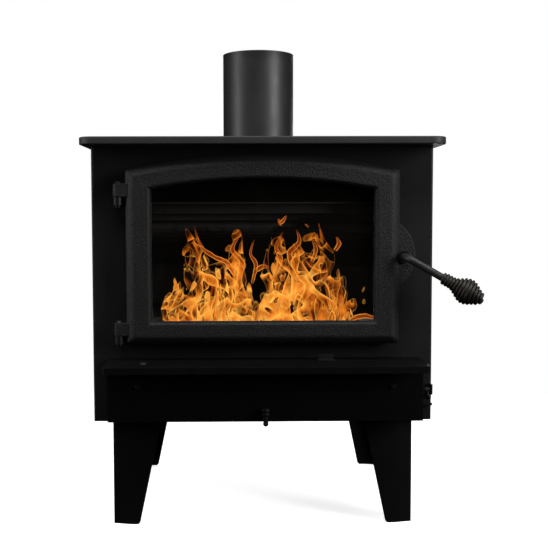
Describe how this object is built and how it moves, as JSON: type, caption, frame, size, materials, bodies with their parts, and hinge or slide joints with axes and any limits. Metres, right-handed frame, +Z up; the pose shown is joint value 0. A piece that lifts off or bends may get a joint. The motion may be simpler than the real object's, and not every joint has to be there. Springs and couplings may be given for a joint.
{
  "type": "wood burning stove",
  "caption": "Free-standing steel wood stove on bent-plate legs, with an arched cast door that opens, a coil-grip latch handle, ash shelf, air controls and a top flue pipe.",
  "frame": {"origin": "on the floor, under the centre of the bounding box (29.8 mm right of the stove's centre line, because the handle reaches out to the right)", "axes": "+Z up, -Y toward the user in front of the door, +X to the user's right"},
  "size_m": [0.7196, 0.58, 0.93],
  "materials": {
    "body_paint": "satin high-temperature black paint",
    "plate_paint": "satin high-temperature black paint on thick plate",
    "leg_paint": "satin high-temperature black paint",
    "flue_paint": "matt black paint on thin pipe",
    "door_cast": "painted, with a sand-cast grain",
    "fittings": "black painted steel",
    "handle_steel": "black painted round bar, worn at its elbow",
    "coil_steel": "dark heat-blued spring wire",
    "small_steel": "dark oiled steel",
    "firebox_steel": "sooty steel plate",
    "air_steel": "heat-stained stainless steel",
    "firebrick": "porous refractory brick with soot",
    "baffle_fibre": "soft ceramic-fibre board",
    "ceramic_glass": "clear ceramic glass, faintly smoky",
    "rope": "braided glass-fibre rope and tape"
  },
  "bodies": {
    "stove": {"top_plate": "plate_paint", "left_side_panel": "body_paint", "right_side_panel": "body_paint", "front_panel": "body_paint", "back_panel": "body_paint", "bottom_panel": "body_paint", "firebox_floor": "firebox_steel", "firebox_left_wall": "firebox_steel", "firebox_right_wall": "firebox_steel", "firebox_back_wall": "firebox_steel", "firebox_roof": "firebox_steel", "floor_firebricks": "firebrick", "left_firebricks": "firebrick", "right_firebricks": "firebrick", "back_firebricks": "firebrick", "baffle_board": "baffle_fibre", "air_wash_bar": "air_steel", "left_air_channel": "air_steel", "right_air_channel": "air_steel", "secondary_air_tubes": "air_steel", "flue_collar": "flue_paint", "flue_pipe": "flue_paint", "ash_shelf": "body_paint", "shelf_bolt": "fittings", "lower_box": "body_paint", "access_cover": "body_paint", "cover_screws": "fittings", "air_duct": "fittings", "lever_bracket": "fittings", "lever_rail": "fittings", "front_left_leg": "leg_paint", "front_right_leg": "leg_paint", "rear_left_leg": "leg_paint", "rear_right_leg": "leg_paint", "leg_bolts": "small_steel", "upper_hinge_bracket": "fittings", "lower_hinge_bracket": "fittings", "upper_hinge_pin": "small_steel", "lower_hinge_pin": "small_steel", "latch_catch": "fittings"},
    "door": {"door_frame": "door_cast", "door_glass": "ceramic_glass", "glass_gasket": "rope", "glass_clips": "small_steel", "clip_screws": "small_steel", "door_rope_gasket": "rope", "handle_bushing": "fittings"},
    "handle": {"handle_shaft": "handle_steel", "coil_grip": "coil_steel", "latch_cam": "small_steel", "cam_nut": "small_steel"},
    "air_control": {"air_control_rod": "small_steel", "air_control_knob": "small_steel", "air_gate": "fittings"},
    "shelf_damper": {"shelf_slider": "fittings", "slider_plate": "fittings"},
    "lever": {"side_lever": "fittings"}
  },
  "joints": [
    {"name": "door_hinge", "type": "hinge", "parent": "stove", "child": "door", "pos_m": [-0.29282, -0.19496, 0.504], "axis": [0, 0, -1], "range_deg": [0, 110]},
    {"name": "handle_turn", "type": "hinge", "parent": "door", "child": "handle", "pos_m": [0.22618, -0.19996, 0.507], "axis": [0, -1, 0], "range_deg": [-20, 70]},
    {"name": "air_control_slide", "type": "slide", "parent": "stove", "child": "air_control", "axis": [0, -1, 0], "range_m": [0, 0.05]},
    {"name": "shelf_damper_slide", "type": "slide", "parent": "stove", "child": "shelf_damper", "axis": [1, 0, 0], "range_m": [0, 0.1]},
    {"name": "side_lever_turn", "type": "hinge", "parent": "stove", "child": "lever", "pos_m": [0.27518, -0.17996, 0.258], "axis": [1, 0, 0], "range_deg": [-35, 25]}
  ]
}
